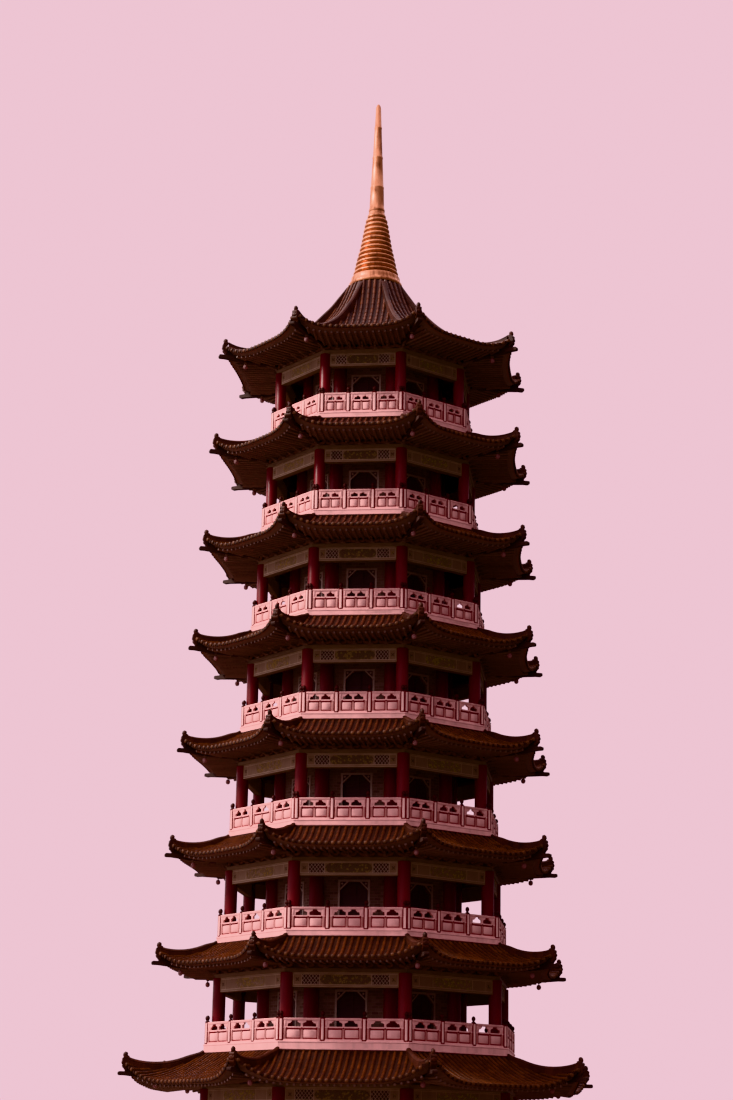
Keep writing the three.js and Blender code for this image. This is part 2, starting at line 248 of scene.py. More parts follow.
class Sketch:
    """Closed bodies gathered into one piece, each face with a finish and a tone of its own."""

    def __init__(self, seed, *names):
        self.names = names
        self.points, self.sides, self.faces, self.finishes, self.tones = [], [], [], [], []
        self.size = 0
        self.random = np.random.default_rng(seed)

    def add(self, body, finish=None, turns=ALL_SIDES, bands=None):
        """Adds a body on each of some sides. Bands number the faces of its skin that share a tone."""
        points, faces = body
        finishes = finish if isinstance(finish, list) else [finish or self.names[0]] * len(faces)
        paints = [[self.names.index(name) for name in np.atleast_1d(names)] for names in finishes]
        if volume(points, faces) < 0:
            faces = [group[:, ::-1] for group in faces]
        for i in turns:
            self.points.append(turn(points, i))
            self.sides.append(points)
            shades = self.random.random(1 if bands is None else int(max(bands)) + 1)
            for j, (group, paint) in enumerate(zip(faces, paints)):
                self.faces.append(group + self.size)
                self.finishes.append(np.broadcast_to(paint, len(group)))
                picked = shades[bands] if bands is not None and j == 0 else shades[:1]
                self.tones.append(np.broadcast_to(picked, len(group)))
            self.size += len(points)

    def build(self, name, slot, *replaced, crease=38):
        """Makes the piece, which rides on the tower and may stand for frame nodes."""
        mesh = bpy.data.meshes.new(name)
        loops = np.concatenate([group.ravel() for group in self.faces])
        corners = np.concatenate([np.full(len(group), group.shape[1]) for group in self.faces])
        mesh.vertices.add(self.size)
        mesh.vertices.foreach_set("co", np.concatenate(self.points).astype(np.float32).ravel())
        mesh.loops.add(len(loops))
        mesh.loops.foreach_set("vertex_index", loops.astype(np.int32))
        mesh.polygons.add(len(corners))
        mesh.polygons.foreach_set("loop_start", (np.cumsum(corners) - corners).astype(np.int32))
        mesh.polygons.foreach_set("material_index", np.concatenate(self.finishes).astype(np.int32))
        mesh.update(calc_edges=True)
        side = mesh.attributes.new("side", "FLOAT_VECTOR", "POINT")
        side.data.foreach_set("vector", np.concatenate(self.sides).astype(np.float32).ravel())
        tone = mesh.attributes.new("tone", "FLOAT", "FACE")
        tone.data.foreach_set("value", np.concatenate(self.tones).astype(np.float32))
        mesh.shade_smooth()
        mesh.set_sharp_from_angle(angle=math.radians(crease))
        for finish in self.names:
            mesh.materials.append(FINISHES[finish])
        piece = bpy.data.objects.new(name, mesh)
        bpy.context.scene.collection.objects.link(piece)
        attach(piece, "root")
        if replaced:
            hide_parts(*replaced)


class Storey:
    """Heights and distances of one storey. Distances are from the axis to the middle of a side."""

    def __init__(self, number):
        low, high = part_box("gallery_floor_2")
        self.base = low.z + (number - 2) * STOREY_HEIGHT
        self.radius = high.x / FLAT * TAPER ** (number - 2)
        self.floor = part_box("plinth" if number == 1 else f"gallery_floor_{number}")[1].z
        self.column = COLUMN_DIAMETER * COLUMN_TAPER ** (number - 2) / 2
        self.rail = self.radius * FLAT - RAIL_INSET
        behind = self.rail - RAIL_THICKNESS - self.column - COLUMN_CLEARANCE
        self.ring = min(self.radius * COLUMN_CIRCLE * FLAT, behind)
        self.core = self.radius * CORE_CIRCLE * FLAT
        self.top = self.base + (TOP_BEAM_TOP if number == STOREYS else STOREY_HEIGHT)


class Roof:
    """The bent surface of one roof, over the front side: s runs from 0 inside to 1 at the eave."""

    def __init__(self, number):
        storey = Storey(number)
        self.base = storey.base
        self.crowned = number == STOREYS
        self.drop = GROUND_EAVE_DROP if number == 1 else 0.0 if self.crowned else EAVE_DROP
        reach = GROUND_EAVE_REACH if number == 1 else EAVE_REACH + EAVE_REACH_GROWTH * (number - 2)
        self.corner = storey.radius + reach
        self.eave = self.corner * FLAT / self.flare(1.0)
        self.wall = storey.ring + BEAM_THICKNESS / 2
        self.inner = CROWN_RADIUS * FLAT if self.crowned else Storey(number + 1).radius * FLAT

    def flare(self, s, c=1.0):
        """How much further out the corners reach: c runs from 0 in the middle of the side to 1 at the hip."""
        return 1 + CORNER_FLARE * s ** 1.5 * c ** 3

    def flat(self, s):
        """Distance from the axis to the middle of the side."""
        return self.inner + s * (self.eave - self.inner)

    def slope(self, s):
        """Height in the middle of the side."""
        if self.crowned:
            return smooth(s, TOP_SLOPE)
        low = EAVE_TOP - self.drop
        return low + (ROOF_TOP - low) * np.maximum(1 - s, 0) ** SLOPE_POWER

    def lift(self, s, c):
        """Extra height of the upturned corners."""
        return (CORNER_LIFT + self.drop) * s ** LIFT_POWER * c ** LIFT_BEND

    def half(self, s, ridge=RIDGE_WIDTH / 2):
        """Half the width of the side, from its middle to the edge of the hip ridge."""
        return self.flat(s) * TAN - ridge / FLAT

    def surface(self, x, s, sink=0.0):
        """Points of the surface at x and s, lowered by a sink."""
        x, s = np.broadcast_arrays(np.asarray(x, float), np.maximum(s, 0.0))
        c = np.clip(np.abs(x) / self.half(s), 0, 1)
        for _ in range(6):
            c = np.clip(np.abs(x) / (self.half(s) * self.flare(s, c)), 0, 1)
        n = self.flat(s) * self.flare(s, c)
        return np.stack([x, -n, self.base + self.slope(s) + self.lift(s, c) - sink], -1)

    def hip(self, x):
        """How far up the slope a line at x reaches before it meets the hip ridge."""
        s = np.linspace(0, 1, 121)
        return float(np.interp(abs(x), self.half(s, HIP_JOINT) * self.flare(s), s))

    def courses(self, length):
        """Places of the tile joints, from the eave up."""
        s = np.linspace(1, 0, 240)
        step = np.hypot(np.diff(self.flat(s)), np.diff(self.slope(s)))
        run = np.concatenate([[0], np.cumsum(step)])
        return np.interp(np.arange(0, run[-1], length), run, s)

    def hip_line(self, s):
        """Distance from the axis and height of the surface along the hip."""
        radius = self.flat(s) / FLAT * self.flare(s)
        return radius, self.base + self.slope(s) + self.lift(s, 1.0)

    def soffit(self, x, f, sink=0.0):
        """Points of the boarded underside: f runs from 0 at the wall to 1 near the eave."""
        x, f = np.broadcast_arrays(np.asarray(x, float), np.asarray(f, float))
        out = self.eave - SOFFIT_SETBACK
        s = 0.85 * f
        c = np.ones_like(x)
        for _ in range(6):
            n = self.wall + f * (out * self.flare(1.0, c) - self.wall)
            c = np.clip(np.abs(x) / (n * TAN), 0, 1)
        n = self.wall + f * (out * self.flare(1.0, c) - self.wall)
        z = SOFFIT_INNER + f * (SOFFIT_OUTER - self.drop - SOFFIT_INNER) + self.lift(s, c)
        return np.stack([x, -n, self.base + z - sink], -1)


# Materials

# Sockets of a colour Mix node
FACTOR, A, B, MIXED = 0, 6, 7, 2


def linear(code):
    """An sRGB hex colour as linear red, green, blue and alpha."""
    values = [int(code[i:i + 2], 16) / 255 for i in (1, 3, 5)]
    return tuple(v / 12.92 if v <= 0.04045 else ((v + 0.055) / 1.055) ** 2.4 for v in values) + (1.0,)


def add(tree, kind, inputs=(), **settings):
    """Adds a shader node with its settings, and gives its outputs.

    Inputs stand under their sockets' names or in order: links, numbers or hex colours.
    """
    node = tree.nodes.new("ShaderNode" + kind)
    for key, value in settings.items():
        if key == "stops":
            while len(node.color_ramp.elements) < len(value):
                node.color_ramp.elements.new(1.0)
            for element, (place, colour) in zip(node.color_ramp.elements, value):
                element.position, element.color = place, linear(colour)
        else:
            setattr(node, key, value)
    for key, value in inputs.items() if isinstance(inputs, dict) else enumerate(inputs):
        if isinstance(value, bpy.types.NodeSocket):
            tree.links.new(value, node.inputs[key])
        else:
            node.inputs[key].default_value = linear(value) if isinstance(value, str) else value
    return node.outputs


def start(name, roughness, metallic=0.0):
    """A new material with its node tree and its shader."""
    made = bpy.data.materials.new(name)
    made.use_nodes = True
    shader = made.node_tree.nodes["Principled BSDF"]
    shader.inputs["Roughness"].default_value = roughness
    shader.inputs["Metallic"].default_value = metallic
    return made, made.node_tree, shader


def on_side(tree):
    """Where a point lies on its own side of the tower, turned to the front, and its face's tone."""
    place = add(tree, "Attribute", attribute_name="side")["Vector"]
    tone = add(tree, "Attribute", attribute_name="tone")["Fac"]
    return place, tone


def on_solid(tree):
    """The same place on a solid of the frame, from the direction of its nearest side."""
    place = add(tree, "TexCoord")["Object"]
    x, y, _ = add(tree, "SeparateXYZ", [place])
    front = add(tree, "Math", (y, -1.0), operation="MULTIPLY")[0]
    around = add(tree, "Math", (x, front), operation="ARCTAN2")[0]
    middle = add(tree, "Math", (around, TURN / 2), operation="ADD")[0]
    snapped = add(tree, "Math", (middle, TURN), operation="SNAP")[0]
    back = add(tree, "Math", (snapped, -1.0), operation="MULTIPLY")[0]
    return add(tree, "VectorRotate", {"Vector": place, "Angle": back}, rotation_type="Z_AXIS")[0]


def elevation(tree, place):
    """Places across and up a side, without depth."""
    x, _, z = add(tree, "SeparateXYZ", [place])
    return add(tree, "CombineXYZ", (x, z))[0]


def weathered(tree, shader, place, colour, dirt, size, grain, amount, relief=None):
    """Stains about one size across and rain streaks over a colour, on a grain of some depth.

    Relief is the height and depth of joints below the grain. Gives the mask of the stains.
    """
    hung = add(tree, "Mapping", {"Vector": place, "Scale": (1.0, 1.0, 0.16)})[0]
    streaks = add(tree, "TexNoise", {"Vector": hung, "Scale": 5.0 / size, "Detail": 5.0})[0]
    clouds = add(tree, "TexNoise", {"Vector": place, "Scale": 1.2 / size, "Detail": 6.0})[0]
    stain = add(tree, "Math", (streaks, clouds), operation="MULTIPLY")[0]
    mask = add(tree, "MapRange", {"Value": stain, "From Min": 0.18, "From Max": 0.42, "To Max": amount})[0]
    stained = add(tree, "Mix", {FACTOR: mask, A: colour, B: dirt}, data_type="RGBA")[MIXED]
    tree.links.new(stained, shader.inputs["Base Color"])
    fine = add(tree, "TexNoise", {"Vector": place, "Scale": 30.0 / size, "Detail": 4.0})[0]
    surface = {"Height": fine, "Strength": 0.35, "Distance": grain}
    if relief:
        joints = {"Height": relief[0], "Strength": 0.6, "Distance": relief[1]}
        surface["Normal"] = add(tree, "Bump", joints)[0]
    tree.links.new(add(tree, "Bump", surface)[0], shader.inputs["Normal"])
    return mask


def glazed_tile(name, light, dark, soot, roughness, gleam=0.05):
    """Fired clay under a thin glassy glaze: each tile has its own shade and a broken gleam."""
    made, tree, shader = start(name, roughness)
    place, tone = on_side(tree)
    body = add(tree, "Mix", {FACTOR: tone, A: dark, B: light}, data_type="RGBA")[MIXED]
    weathered(tree, shader, place, body, soot, 0.5, 0.003, 0.6)
    shader.inputs["Specular IOR Level"].default_value = 0.3
    shader.inputs["Coat Weight"].default_value = gleam
    shader.inputs["Coat Roughness"].default_value = 0.25
    return made


def limewash(name, colour, dirt, amount=0.5):
    """Lime brushed on carved stone: flat and chalky, with brush marks and grey streaks of rain."""
    made, tree, shader = start(name, 0.72)
    place, _ = on_side(tree)
    strokes = add(tree, "Mapping", {"Vector": place, "Scale": (1.0, 1.0, 3.0)})[0]
    marks = add(tree, "TexNoise", {"Vector": strokes, "Scale": 26.0, "Detail": 3.0})[0]
    thin = add(tree, "MapRange", {"Value": marks, "From Min": 0.35, "From Max": 0.65, "To Max": 0.16})[0]
    body = add(tree, "Mix", {FACTOR: thin, A: colour, B: dirt}, data_type="RGBA")[MIXED]
    weathered(tree, shader, place, body, dirt, 0.8, 0.003, amount)
    return made


def oil_paint(name, colour, dark, roughness=0.36):
    """Oil paint brushed on smooth render: deep and even, with a faint satin gleam that the stains dull."""
    made, tree, shader = start(name, roughness)
    shader.inputs["Specular IOR Level"].default_value = 0.3
    place, _ = on_side(tree)
    mask = weathered(tree, shader, place, colour, dark, 0.9, 0.0015, 0.5)
    dulled = add(tree, "MapRange", {
        "Value": mask, "From Max": 0.5, "To Min": roughness, "To Max": roughness + 0.25})[0]
    tree.links.new(dulled, shader.inputs["Roughness"])
    return made


def coursed_stone(name, light, dark, joint, course, length, solid=False):
    """Hewn blocks in lime mortar: courses that shift by half a block, with joints set back."""
    made, tree, shader = start(name, 0.85)
    place = on_solid(tree) if solid else on_side(tree)[0]
    laid = add(tree, "TexBrick", {
        "Vector": elevation(tree, place), "Color1": light, "Color2": dark, "Mortar": joint, "Scale": 1.0,
        "Mortar Size": course * 0.07, "Mortar Smooth": 0.2, "Brick Width": length, "Row Height": course})
    proud = add(tree, "Math", (1.0, laid[1]), operation="SUBTRACT")[0]
    weathered(tree, shader, place, laid[0], dark, 0.7, 0.003, 0.55, (proud, 0.006))
    return made


def painted_timber(name, colour, dark, roughness=0.62):
    """Softwood under thin paint: the grain shows as long lines, and each board has its own shade."""
    made, tree, shader = start(name, roughness)
    place, tone = on_side(tree)
    long = add(tree, "Mapping", {"Vector": place, "Scale": (3.0, 38.0, 38.0)})[0]
    grain = add(tree, "TexNoise", {"Vector": long, "Scale": 1.4, "Detail": 5.0})[0]
    lines = add(tree, "MapRange", {"Value": grain, "From Min": 0.35, "From Max": 0.65})[0]
    board = add(tree, "Mix", {FACTOR: tone, A: dark, B: colour}, data_type="RGBA")[MIXED]
    body = add(tree, "Mix", {FACTOR: lines, A: board, B: colour}, data_type="RGBA")[MIXED]
    weathered(tree, shader, place, body, dark, 0.7, 0.002, 0.45)
    return made


def painted_foliage(name, ground, leaf, flower, outline):
    """Mineral colours dabbed on a primed beam: leaves and blooms of 45 mm, drawn round in a dark line."""
    made, tree, shader = start(name, 0.68)
    place, _ = on_side(tree)
    flat = elevation(tree, place)
    wobble = add(tree, "TexNoise", {"Vector": flat, "Scale": 9.0, "Detail": 2.0})["Color"]
    bent = add(tree, "VectorMath", (wobble, (0.09, 0.09, 0.0), flat), operation="MULTIPLY_ADD")[0]
    cells = {"Vector": bent, "Scale": 1 / 0.045}
    dabs = add(tree, "TexVoronoi", cells, voronoi_dimensions="2D")["Color"]
    edge = add(tree, "TexVoronoi", cells, voronoi_dimensions="2D", feature="DISTANCE_TO_EDGE")[0]
    share = add(tree, "SeparateColor", [dabs])[0]
    paint = add(tree, "ValToRGB", [share], stops=[
        (0.0, leaf), (0.36, leaf), (0.4, flower), (0.62, flower), (0.66, ground), (1.0, ground)])[0]
    near = add(tree, "Math", (edge, 0.07), operation="LESS_THAN")[0]
    drawn = add(tree, "Mix", {FACTOR: near, A: paint, B: outline}, data_type="RGBA")[MIXED]
    weathered(tree, shader, place, drawn, ground, 0.5, 0.0015, 0.4)
    return made


def painted_net(name, ground, line):
    """Mineral colours on a primed beam: pale diamonds of 74 by 94 mm, brushed on a dark ground."""
    width, height = 0.037, 0.047
    made, tree, shader = start(name, 0.68)
    place, _ = on_side(tree)
    x, _, z = add(tree, "SeparateXYZ", [place])
    halves = add(tree, "Math", (x, width), operation="PINGPONG")[0]
    heights = add(tree, "Math", (z, height), operation="PINGPONG")[0]
    slant = add(tree, "Math", (heights, width / height, halves), operation="MULTIPLY_ADD")[0]
    near = add(tree, "Math", (slant, width, width * 0.23), operation="COMPARE")[0]
    drawn = add(tree, "Mix", {FACTOR: near, A: ground, B: line}, data_type="RGBA")[MIXED]
    weathered(tree, shader, place, drawn, ground, 0.5, 0.0015, 0.4)
    return made


def cast_floor(name, edge, paving, boards, joint):
    """One cast floor: limewashed at its edge, worn paving on top, and dark paint below."""
    made, tree, shader = start(name, 0.75)
    place = on_solid(tree)
    up = add(tree, "SeparateXYZ", [add(tree, "NewGeometry")["Normal"]])[2]
    x, out, _ = add(tree, "SeparateXYZ", [place])
    plan = add(tree, "CombineXYZ", (x, out))[0]
    laid = add(tree, "TexBrick", {
        "Vector": plan, "Color1": paving, "Color2": paving, "Mortar": joint, "Scale": 1.0,
        "Mortar Size": 0.004, "Brick Width": 0.3, "Row Height": 0.3})[0]
    top = add(tree, "Math", (up, 0.5), operation="GREATER_THAN")[0]
    below = add(tree, "Math", (up, -0.5), operation="LESS_THAN")[0]
    body = add(tree, "Mix", {FACTOR: top, A: edge, B: laid}, data_type="RGBA")[MIXED]
    body = add(tree, "Mix", {FACTOR: below, A: body, B: boards}, data_type="RGBA")[MIXED]
    weathered(tree, shader, place, body, joint, 0.9, 0.003, 0.35)
    return made


def worn_gilt(name, colour, dull):
    """Gilt bronze long outdoors: a warm metal gleam, broken by brown patches that no longer shine."""
    made, tree, shader = start(name, 0.45, 0.7)
    place, _ = on_side(tree)
    mask = weathered(tree, shader, place, colour, dull, 0.4, 0.002, 0.85)
    rough = add(tree, "MapRange", {"Value": mask, "From Max": 0.8, "To Min": 0.38, "To Max": 0.75})[0]
    tree.links.new(rough, shader.inputs["Roughness"])
    return made


FINISHES = {}


def make_finishes(colours):
    """All the tower's finishes, from the colours in the panel."""
    tile, stone, lacquer, wall, spire = (
        (*value, 1.0) for value in (colours.tile, colours.stone, colours.lacquer, colours.masonry, colours.spire))
    FINISHES.update(
        tile=glazed_tile("glazed_barrel_tile", tile, "#3a1c0b", "#221108", 0.4, 0.12),
        # Pans: the glaze's own brown, darkened well below the ribs as painted shade for the shadowed channels
        # between the ribs.
        pan=glazed_tile("glazed_pan_tile_darkened_as_painted_shade", "#2c140a", "#200e07", "#140906", 0.7),
        cap=glazed_tile("tile_end_disc", "#5e3e2c", "#422a1c", "#22130d", 0.6),
        ridge=glazed_tile("glazed_ridge_tile", "#44251b", "#301a13", "#1b0f0b", 0.65),
        stone=limewash("limewashed_stone", stone, "#a97f80"),
        bright=limewash("limewashed_post_strip", "#f5c9c6", "#cc9f9d", 0.35),
        outline=oil_paint("dull_red_line_paint", "#7d2024", "#3c1012", 0.6),
        rose=limewash("rose_limewash", "#bd8784", "#8c5f5d"),
        ball=oil_paint("dark_finial_paint", "#3a1614", "#1f0b0b", 0.5),
        lacquer=oil_paint("dark_red_column_paint", lacquer, "#42090d"),
        timber=painted_timber("dark_eave_timber", "#8a776e", "#5c4e48", 0.8),
        board=painted_timber("red_brown_eave_board", "#866458", "#5c463d", 0.8),
        end=limewash("rafter_end_paint", "#a0938c", "#70645f"),
        corner=painted_timber("dark_corner_beam", "#35241e", "#211612", 0.8),
        plank=painted_timber("ochre_plank", "#7e6c5a", "#5a4c40"),
        ceiling=painted_timber("gallery_ceiling_board", "#76665f", "#524642"),
        border=limewash("beam_border_paint", "#ccbba9", "#9a8977"),
        beam=limewash("beam_ground_paint", "#9e8c7c", "#716255"),
        foliage=painted_foliage("painted_foliage", "#6c5f52", "#665c4a", "#8f7a5a", "#54483f"),
        gold=painted_foliage("painted_gold_spray", "#9e8c7c", "#84745a", "#9c8450", "#6e6050"),
        net=painted_net("painted_net", "#382f2a", "#bdb0a5"),
        masonry=coursed_stone("grey_brown_masonry", wall, "#6c5e58", "#a89c94", 0.065, 0.15),
        frame=limewash("door_frame_plaster", "#cfc4bc", "#958a82"),
        leaf=painted_timber("dark_door_leaf", "#5a5452", "#403c3a"),
        lamp=limewash("frosted_lamp_glass", "#b09090", "#7c6262", 0.3),
        gilt=worn_gilt("worn_gilt_bronze", spire, "#6b4334"),
        floor=cast_floor("cast_floor", stone, "#8a7a74", "#402a22", "#6b5a55"),
        block=coursed_stone("dressed_plinth_stone", "#a8958d", "#8a7a72", "#bcaaa1", 0.2, 0.55, True),
    )


# Pieces


def dress(name, finish):
    """Gives a frame node, whose shape stays as it is, one of the finishes."""
    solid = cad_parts[name]
    solid.data.materials.clear()
    solid.data.materials.append(FINISHES[finish])


# Floors: mouldings, outward from the slab's edge and up from its underside or its top

NOSING = ((-0.02, -0.006), (-0.02, 0.02), (0.004, 0.02), (0.006, 0.006), (0.002, -0.006))
LIP = ((-0.03, -0.03), (-0.03, 0.006), (0.002, 0.006), (0.008, -0.002), (0.008, -0.02), (0.002, -0.03))


def build_floors():
    """Gallery floors keep their solids; each gets a finish, a nosing and a boarded ceiling below it."""
    for number in GALLERIES:
        dress(f"gallery_floor_{number}", "floor")
        storey, under = Storey(number), Storey(number - 1)
        edge, low = storey.radius * FLAT, storey.base
        trim = Sketch(number, "stone", "ceiling")
        trim.add(mitred(moved(NOSING, edge, low)))
        trim.add(mitred(moved(LIP, edge, storey.floor)))
        trim.add(mitred(rectangle(under.core - 0.05, under.ring + 0.02, low - 0.012, low - 0.002)), "ceiling")
        trim.build(f"floor_trim_{number}", "floor_edge")


# Balustrades: rails outward from the face and up from the floor, lobes up from the middle rail

BASE_RAIL = ((-RAIL_THICKNESS, 0), (-RAIL_THICKNESS, BASE_STRIP), (0, BASE_STRIP), (0.004, 0.02), (0.004, 0))
MID_RAIL = rectangle(-RAIL_THICKNESS, 0, MID_RAIL_BOTTOM, MID_RAIL_TOP)
HAND_RAIL = ((-0.056, 0.43), (-0.064, 0.442), (-0.064, 0.473), (-0.052, 0.485), (-0.008, 0.485), (0.005, 0.473),
             (0.005, 0.442), (-0.003, 0.43))
POST_STRIP = ((-0.031, 0), (-0.024, 0.012), (0, 0.018), (0.024, 0.012), (0.031, 0), (0, -RAIL_THICKNESS))
BALL_FINIAL = ((0.05, 0.0), (0.05, 0.014), (0.03, 0.022), (0.024, 0.045), (0.034, 0.052), (0.043, 0.075),
               (0.045, 0.095), (0.037, 0.12), (0.022, 0.138), (0.006, 0.146))
SIDE_LOBE = ((0, 0.125), (0.112, 0.125), (0.118, 0.108), (0.106, 0.092), (0.088, 0.094), (0.09, 0.078),
             (0.076, 0.064), (0.052, 0.07), (0.038, 0.06), (0.03, 0.04), (0.026, 0.0), (0, 0.0))
MIDDLE_LOBE = ((0, 0.125), (0.088, 0.125), (0.095, 0.108), (0.086, 0.09), (0.068, 0.088), (0.054, 0.076),
               (0.034, 0.074), (0.024, 0.06), (0.022, 0.0), (0, 0.0))


def build_balustrades():
    """Pierced stone balustrades with red posts, raised panel fields and ball finials."""
    for number in GALLERIES:
        storey = Storey(number)
        z, face = storey.floor, storey.rail
        wall = Sketch(100 + number, "stone", "bright", "outline", "lacquer", "rose", "ball")
        for rail in (BASE_RAIL, HAND_RAIL, MID_RAIL):
            wall.add(mitred(moved(rail, face, z)))
        reach = face * TAN - POST_HALF * 0.85
        for j in range(BAYS + 1):
            add_post(wall, reach * (2 * j / BAYS - 1), z, face)
        for j in range(BAYS):
            add_bay(wall, reach * ((2 * j + 1) / BAYS - 1), reach / BAYS - POST_HALF, z, face)
        wall.build(f"carved_balustrade_{number}", "balustrade", f"balustrade_{number}")


def add_post(wall, x, z, face):
    """A red post with a pale rounded strip on its face and a ball on top."""
    depth = (face - RAIL_THICKNESS - 0.008, face + 0.006)
    wall.add(block(about(x, POST_HALF), depth, (z, z + RAIL_TOP + 0.004), 0.008), "lacquer")
    wall.add(bar(moved(POST_STRIP, x, face), z + 0.035, z + RAIL_TOP - 0.02, "z"), "bright")
    wall.add(turned(moved(BALL_FINIAL, 0, z + RAIL_TOP + 0.003), 9, face - RAIL_THICKNESS / 2, x), "ball")


def add_bay(wall, centre, reach, z, face):
    """One bay: two raised fields on a sunk ground, with carved lobes in the openings over them."""
    back, low, high = face - RAIL_THICKNESS, z + BASE_STRIP, z + MID_RAIL_BOTTOM
    wall.add(block(about(centre, reach + 0.01), (back + 0.014, face - 0.014), (low, high)), "outline")
    for side in (-1, 1):
        stile = about(centre + side * (reach - STILE / 2), STILE / 2)
        wall.add(block(stile, (back, face), (low, high), 0.004), "rose")
        wall.add(block(stile, (back, face), (z + MID_RAIL_TOP, z + RAIL_BOTTOM), 0.004), "stone")
    half = reach - STILE
    wall.add(block(about(centre, MULLION_HALF), (back + 0.006, face - 0.006), (low, high)), "rose")
    wall.add(block(about(centre, half), (back - 0.002, face + 0.002), (high - 0.012, high)), "outline")
    for x in (centre - half + 0.012, centre, centre + half - 0.012):
        wall.add(block(about(x, 0.014), (back - 0.003, face + 0.004), (high - 0.016, high + 0.012)), "lacquer")
    field = (half - MULLION_HALF) / 2
    for side in (-1, 1):
        across = about(centre + side * (MULLION_HALF + field), field - 0.014)
        wall.add(block(across, (back + 0.001, face - 0.001), (low + 0.024, high - 0.034), 0.012), "stone")
        for lobe, x, way in ((SIDE_LOBE, centre + side * half, -side), (MIDDLE_LOBE, centre, side)):
            wall.add(bar(moved(lobe, x, z + MID_RAIL_TOP, way), back + 0.01, face - 0.006), "stone")


# Painted beams: panels as shares of half the span, heights above the panels' lower edge

PANEL_ENDS = (-1.0, -0.84, -0.5, 0.5, 0.84, 1.0)
CARTOUCHE = both(((-0.5, 0.1), (-0.46, 0.04), (-0.4, 0.0))) + both(((0.5, 0.11), (0.46, 0.17), (0.4, 0.21)))
PLANK = ((-0.03, 0), (-0.03, 0.086), (0.188, 0.086), (0.188, 0.056), (0.173, 0.02), (0.168, 0))
PETAL_REACH = 0.026
PETAL_HALF = 0.015


def build_columns():
    """Round red columns with the painted beams and planks that join them."""
    for number in ALL_STOREYS:
        storey = Storey(number)
        r, z, base = storey.column, storey.floor, storey.base
        low, high, plank = base + BEAM_BOTTOM, base + COLUMN_TOP, base + PLANK_TOP
        out, back = storey.ring + BEAM_THICKNESS / 2 - 0.012, storey.ring - BEAM_THICKNESS / 2
        ring = Sketch(200 + number, "lacquer", "beam", "border", "foliage", "gold", "net", "plank", "ceiling")
        shaft = [(r + 0.03, z), (r + 0.03, z + 0.03), (r + 0.015, z + 0.055), (r, z + 0.07), (r, high - 0.02),
                 (r - 0.006, high)]
        ring.add(turned(shaft, 28, storey.ring / FLAT), "lacquer", CORNERS)
        ring.add(mitred(rectangle(back, out, low, high)), "beam")
        ring.add(mitred(rectangle(back + 0.002, out + 0.004, low - 0.012, low)), "plank")
        ring.add(mitred(moved(PLANK, back, high)), "plank")
        ring.add(mitred(rectangle(back, out - 0.02, plank, storey.top - 0.002)), "ceiling")
        span = storey.ring * TAN - r
        panel = (base + PANEL_BOTTOM, base + PANEL_TOP)
        line = (out - 0.01, out + 0.006)
        borders = ((panel[0] - 0.014, panel[0]), (panel[1], panel[1] + 0.014), (low, low + 0.01),
                   (high - 0.01, high))
        for height in borders:
            ring.add(block((-span, span), line, height), "border")
        for place in PANEL_ENDS:
            ring.add(block(about(place * (span - 0.006), 0.006), line, panel), "border")
        for turns, middle, flank in (((0, 2, 4, 6), "foliage", "net"), ((1, 3, 5, 7), "gold", "beam")):
            for a, b in (PANEL_ENDS[1:3], PANEL_ENDS[3:5]):
                across = (a * span + 0.01, b * span - 0.01)
                ring.add(block(across, (out - 0.01, out + 0.002), panel), flank, turns)
            relief = (out - 0.01, out + 0.003)
            ring.add(bar(moved(CARTOUCHE, 0, panel[0], span - 0.01), *relief), middle, turns)
            for side in (-0.92, 0.92):
                add_flower(ring, side * span, sum(panel) / 2, relief, turns)
        ring.build(f"painted_colonnade_{number}", "red_lacquer", f"colonnade_{number}")


def add_flower(ring, x, z, relief, turns):
    """The small four-petalled flower in an end square of a painted beam."""
    t = np.arange(8) * math.tau / 8
    along, across = PETAL_REACH + PETAL_REACH * np.cos(t), PETAL_HALF * np.sin(t)
    for angle in (45, 135, 225, 315):
        c, s = math.cos(math.radians(angle)), math.sin(math.radians(angle))
        petal = np.stack([x + along * c - across * s, z + along * s + across * c], -1)
        ring.add(bar(petal, *relief), "foliage", turns)


# Cores: the skirting outward from the wall and up from the floor, the flower round its own middle

SKIRTING = ((-0.01, 0), (-0.01, 0.12), (0.012, 0.12), (0.02, 0.1), (0.02, 0))
FLOWER = [(r * math.cos(k * math.tau / 16), r * math.sin(k * math.tau / 16))
          for k, r in enumerate((0.027, 0.027, 0.015, 0.027) * 4)]


